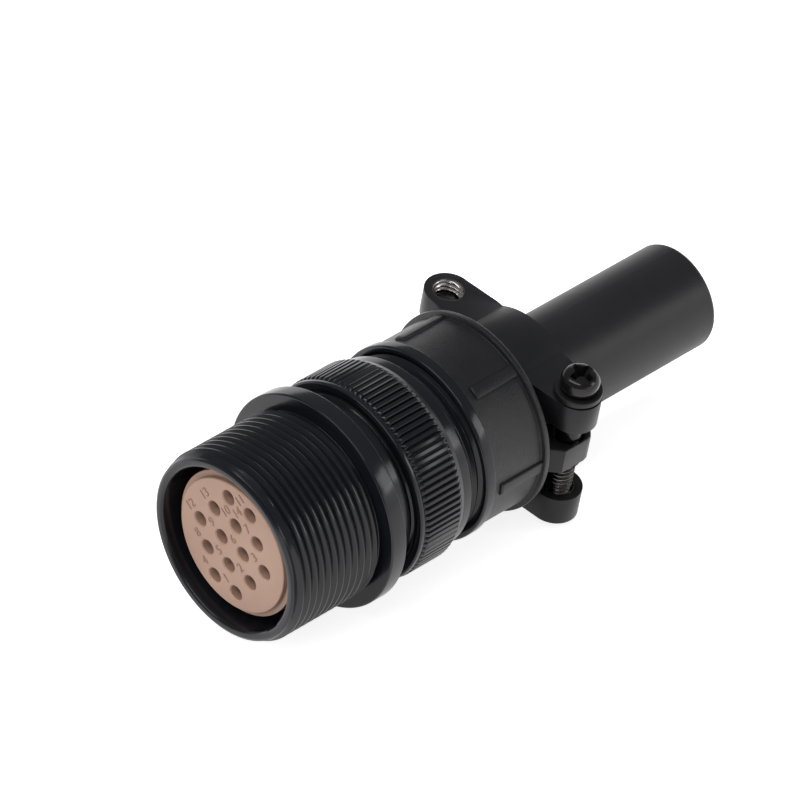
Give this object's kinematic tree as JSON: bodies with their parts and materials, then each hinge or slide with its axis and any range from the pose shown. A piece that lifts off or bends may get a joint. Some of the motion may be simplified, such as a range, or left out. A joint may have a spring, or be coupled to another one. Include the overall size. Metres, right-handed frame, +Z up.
{
  "type": "cable-end circular connector receptacle",
  "caption": "Round threaded connector receptacle with socket contacts, knurled back shell, two-saddle cable clamp and rubber cable sleeve.",
  "frame": {"origin": "centre of the front mating rim, on the connector's axis", "axes": "+X along the connector's axis from the mating rim to the cable end, +Z up as it lies on a table, -Y towards the picture's camera"},
  "size_m": [0.0988, 0.041, 0.036],
  "materials": {
    "black_shell": "gloss",
    "insert_rubber": "matt",
    "contact_gold": "satin",
    "spacer_grey": "satin",
    "sleeve_rubber": "matt",
    "screw_steel": "gloss",
    "washer_steel": "satin"
  },
  "bodies": {
    "front": {"front_shell": "black_shell", "insert_front": "insert_rubber", "insert_rear": "insert_rubber", "contact_01": "contact_gold", "contact_02": "contact_gold", "contact_03": "contact_gold", "contact_04": "contact_gold", "contact_05": "contact_gold", "contact_06": "contact_gold", "contact_07": "contact_gold", "contact_08": "contact_gold", "contact_09": "contact_gold", "contact_10": "contact_gold", "contact_11": "contact_gold", "contact_12": "contact_gold", "contact_13": "contact_gold", "contact_14": "contact_gold"},
    "spacer": {"spacer_sleeve": "spacer_grey"},
    "back": {"back_shell": "black_shell"},
    "sleeve": {"rubber_sleeve": "sleeve_rubber"},
    "clamp": {"clamp_body": "black_shell"},
    "upper": {"upper_saddle": "black_shell", "near_lock_washer": "washer_steel"},
    "lower": {"lower_saddle": "black_shell", "far_lock_washer": "washer_steel"},
    "near_screw_body": {"near_screw": "screw_steel"},
    "far_screw_body": {"far_screw": "screw_steel"}
  },
  "joints": [
    {"name": "spacer_feed", "type": "slide", "parent": "front", "child": "spacer", "axis": [1, 0, 0], "range_m": [0, 0.0071]},
    {"name": "back_shell_turn", "type": "hinge", "parent": "spacer", "child": "back", "pos_m": [0.03, 0, 0], "axis": [1, 0, 0], "range_deg": [0, 1800]},
    {"name": "sleeve_feed", "type": "slide", "parent": "back", "child": "sleeve", "axis": [1, 0, 0], "range_m": [0, 0.0064]},
    {"name": "clamp_body_turn", "type": "hinge", "parent": "sleeve", "child": "clamp", "pos_m": [0.045, 0, 0], "axis": [1, 0, 0], "range_deg": [0, 1620]},
    {"name": "lower_saddle_slide", "type": "slide", "parent": "clamp", "child": "lower", "axis": [0, 0.1994, -0.9799], "range_m": [-0.003, 0.0007]},
    {"name": "near_screw_turn", "type": "hinge", "parent": "upper", "child": "near_screw_body", "pos_m": [0.0598, -0.01411, -0.00287], "axis": [0, -0.1994, 0.9799], "range_deg": [-1702, 398]},
    {"name": "upper_saddle_slide", "type": "slide", "parent": "clamp", "child": "upper", "axis": [0, -0.1994, 0.9799], "range_m": [-0.00075, 0.000176]},
    {"name": "far_screw_turn", "type": "hinge", "parent": "lower", "child": "far_screw_body", "pos_m": [0.0598, 0.01411, 0.00287], "axis": [0, 0.1994, -0.9799], "range_deg": [-1702, 398]}
  ],
  "couplings": [
    {"joint": "spacer_feed", "follows": "back_shell_turn", "m_per_rad": 0.00022458},
    {"joint": "sleeve_feed", "follows": "clamp_body_turn", "m_per_rad": 0.00022458},
    {"joint": "upper_saddle_slide", "follows": "lower_saddle_slide", "ratio": 0.25},
    {"joint": "near_screw_turn", "follows": "lower_saddle_slide", "rad_per_m": 9894.8},
    {"joint": "far_screw_turn", "follows": "lower_saddle_slide", "rad_per_m": 9894.8}
  ]
}
